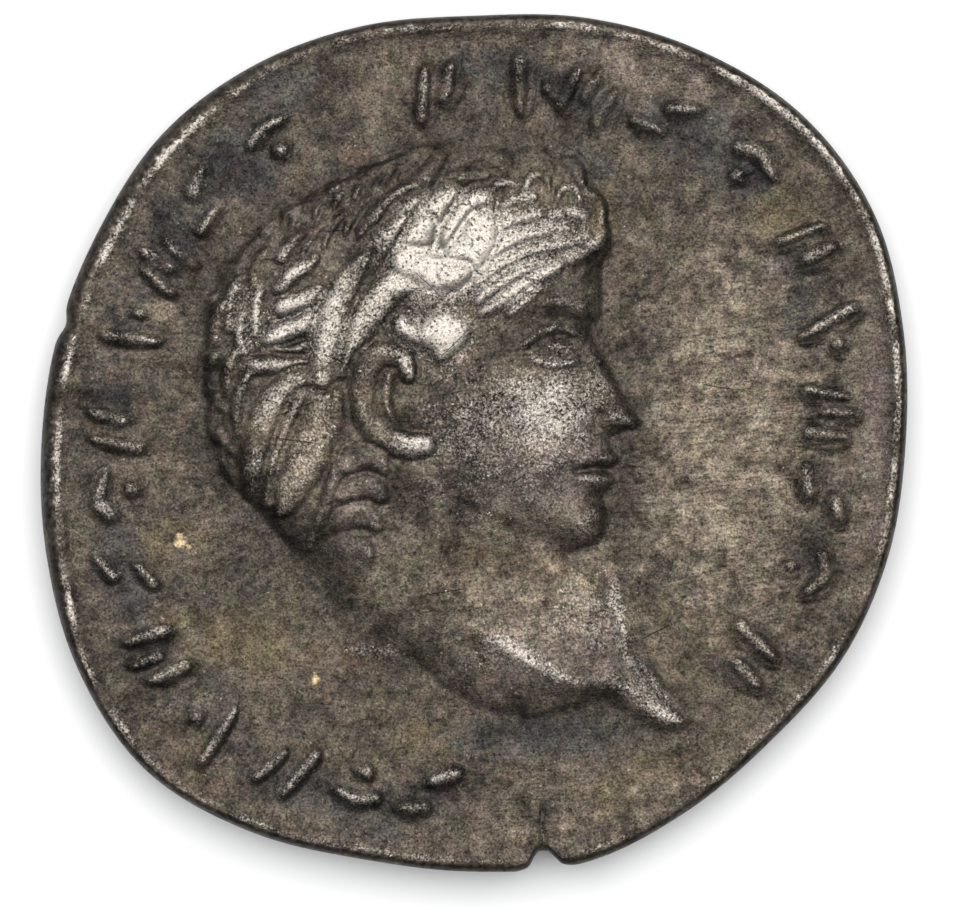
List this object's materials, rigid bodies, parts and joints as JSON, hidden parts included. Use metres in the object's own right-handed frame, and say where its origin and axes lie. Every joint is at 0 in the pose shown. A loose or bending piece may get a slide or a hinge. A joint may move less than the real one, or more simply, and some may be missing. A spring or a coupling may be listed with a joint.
{
  "type": "silver coin",
  "caption": "Small round struck silver coin, worn, with a wreathed head in profile on one face and a standing winged figure on the other, lying flat.",
  "frame": {"origin": "middle of the outline's bounding box, on the plane the coin lies on", "axes": "+Z out of the face with the head, +Y towards the crown of the head, +X the way the head looks"},
  "size_m": [0.0144, 0.0144, 0.0015],
  "materials": {
    "silver": "satin"
  },
  "bodies": {
    "root": {"coin": "silver"}
  },
  "joints": []
}
